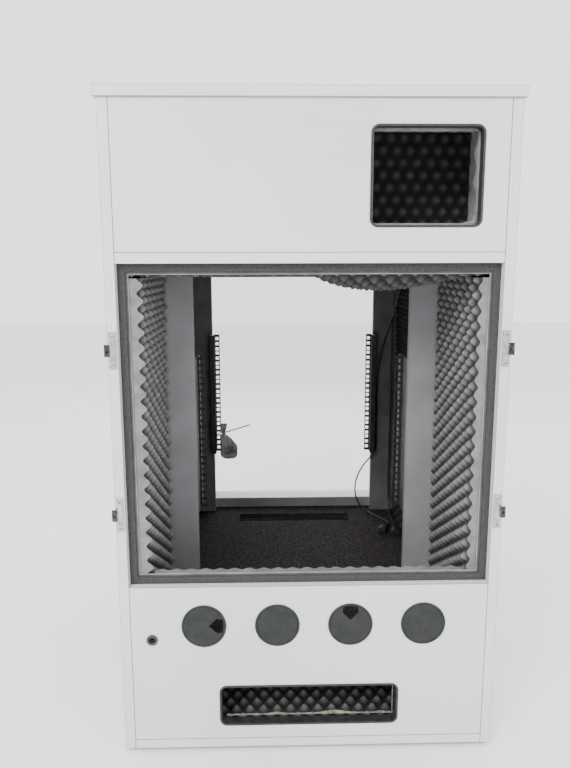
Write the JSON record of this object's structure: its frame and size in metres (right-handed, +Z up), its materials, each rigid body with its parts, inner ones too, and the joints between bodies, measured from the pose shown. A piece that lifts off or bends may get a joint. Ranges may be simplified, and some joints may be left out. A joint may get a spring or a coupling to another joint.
{
  "type": "sound-damping rack cabinet",
  "caption": "Foam-lined quiet rack cabinet with rack rails, cable grommets, an air intake and exhaust, and a glazed front door.",
  "frame": {"origin": "centre of the overall box, on the floor under the glides", "axes": "+Z up, -Y towards the service side with the lift-out doorway, +Y towards the glazed front door"},
  "size_m": [0.7242, 1.0614, 1.2272],
  "materials": {
    "grey_laminate": "light cool grey laminate over board, satin",
    "grey_board": "mid grey laminate, matt",
    "charcoal_board": "charcoal paint, matt",
    "black_batten": "black paint, matt",
    "acoustic_foam": "open-cell charcoal foam with an egg-crate face",
    "carpet": "black needle-felt carpet with fine coloured flecks",
    "gasket_foam": "closed-cell foam strip, brown-black",
    "black_steel": "black powder coat",
    "nickel_plate": "bright nickel plate",
    "hinge_steel": "brushed steel",
    "edge_trim": "black vinyl channel",
    "grommet_plastic": "dark grey moulded plastic",
    "jack_black": "black moulded plastic with a bright centre contact",
    "fan_black": "black glass-filled plastic",
    "cord_black": "black vinyl jacket",
    "plug_black": "black moulded vinyl, bright blades",
    "clear_glass": "clear safety glass",
    "handle_black": "black paint, satin",
    "clear_bag": "thin clear plastic film",
    "tie_black": "black nylon",
    "white_nylon": "white nylon"
  },
  "bodies": {
    "cabinet": {"bag_tie": "tie_black", "base_panel": "grey_laminate", "ceiling_board": "grey_laminate", "ceiling_foam": "acoustic_foam", "door_seat_frame": "grey_laminate", "door_seat_gasket": "gasket_foam", "edge_trims": "edge_trim", "exhaust_baffle": "grey_laminate", "fan_cord_a": "cord_black", "fan_cord_b": "cord_black", "fan_frames": "fan_black", "floor_board": "charcoal_board", "floor_carpet": "carpet", "front_rail_high": "grey_laminate", "front_rail_low": "grey_laminate", "front_stile_left": "grey_laminate", "front_stile_right": "grey_laminate", "glides": "white_nylon", "grommet_liners": "grommet_plastic", "hinge_leaves_fixed": "hinge_steel", "keeper_screws": "nickel_plate", "latch_keeper_high_left": "nickel_plate", "latch_keeper_high_right": "nickel_plate", "latch_keeper_low_left": "nickel_plate", "latch_keeper_low_right": "nickel_plate", "lower_panel_foam": "acoustic_foam", "lower_plenum_foam": "acoustic_foam", "plug_a": "plug_black", "plug_b": "plug_black", "power_jack": "jack_black", "rack_board_front_left": "charcoal_board", "rack_board_front_right": "charcoal_board", "rack_board_rear_left": "grey_board", "rack_board_rear_right": "grey_board", "rack_rail_front_left": "black_steel", "rack_rail_front_right": "black_steel", "rack_rail_rear_left": "black_steel", "rack_rail_rear_right": "black_steel", "rail_battens": "black_batten", "rear_lower_panel": "grey_laminate", "rear_upper_panel": "grey_laminate", "screw_bag": "clear_bag", "side_foam_middle": "acoustic_foam", "side_foam_rear_left": "acoustic_foam", "side_foam_rear_right": "acoustic_foam", "side_liners": "grey_board", "side_panel_left": "grey_laminate", "side_panel_right": "grey_laminate", "top_panel": "grey_laminate", "upper_panel_foam": "acoustic_foam"},
    "front_door": {"front_door_frame": "grey_laminate", "front_door_glass": "clear_glass", "front_door_handle": "handle_black", "hinge_leaves_door": "hinge_steel"},
    "grommet_cap_1": {"grommet_cap_1": "grommet_plastic"},
    "grommet_cap_2": {"grommet_cap_2": "grommet_plastic"},
    "grommet_cap_3": {"grommet_cap_3": "grommet_plastic"},
    "grommet_cap_4": {"grommet_cap_4": "grommet_plastic"},
    "fan_rotor_left": {"fan_rotor_left": "fan_black"},
    "fan_rotor_right": {"fan_rotor_right": "fan_black"}
  },
  "joints": [
    {"name": "front_door_hinge", "type": "hinge", "parent": "cabinet", "child": "front_door", "pos_m": [-0.3596, 0.47675, 0.608], "axis": [0, 0, 1], "range_deg": [0, 150]},
    {"name": "grommet_cap_1_turn", "type": "hinge", "parent": "cabinet", "child": "grommet_cap_1", "pos_m": [-0.199, -0.52425, 0.264], "axis": [0, 1, 0], "continuous": true},
    {"name": "grommet_cap_2_turn", "type": "hinge", "parent": "cabinet", "child": "grommet_cap_2", "pos_m": [-0.0607, -0.52425, 0.264], "axis": [0, 1, 0], "continuous": true},
    {"name": "grommet_cap_3_turn", "type": "hinge", "parent": "cabinet", "child": "grommet_cap_3", "pos_m": [0.0776, -0.52425, 0.264], "axis": [0, 1, 0], "continuous": true},
    {"name": "grommet_cap_4_turn", "type": "hinge", "parent": "cabinet", "child": "grommet_cap_4", "pos_m": [0.2159, -0.52425, 0.264], "axis": [0, 1, 0], "continuous": true},
    {"name": "fan_left_spin", "type": "hinge", "parent": "cabinet", "child": "fan_rotor_left", "pos_m": [-0.085, 0.11575, 0.973], "axis": [0, 0, 1], "continuous": true},
    {"name": "fan_right_spin", "type": "hinge", "parent": "cabinet", "child": "fan_rotor_right", "pos_m": [0.085, 0.11575, 0.973], "axis": [0, 0, 1], "continuous": true}
  ]
}
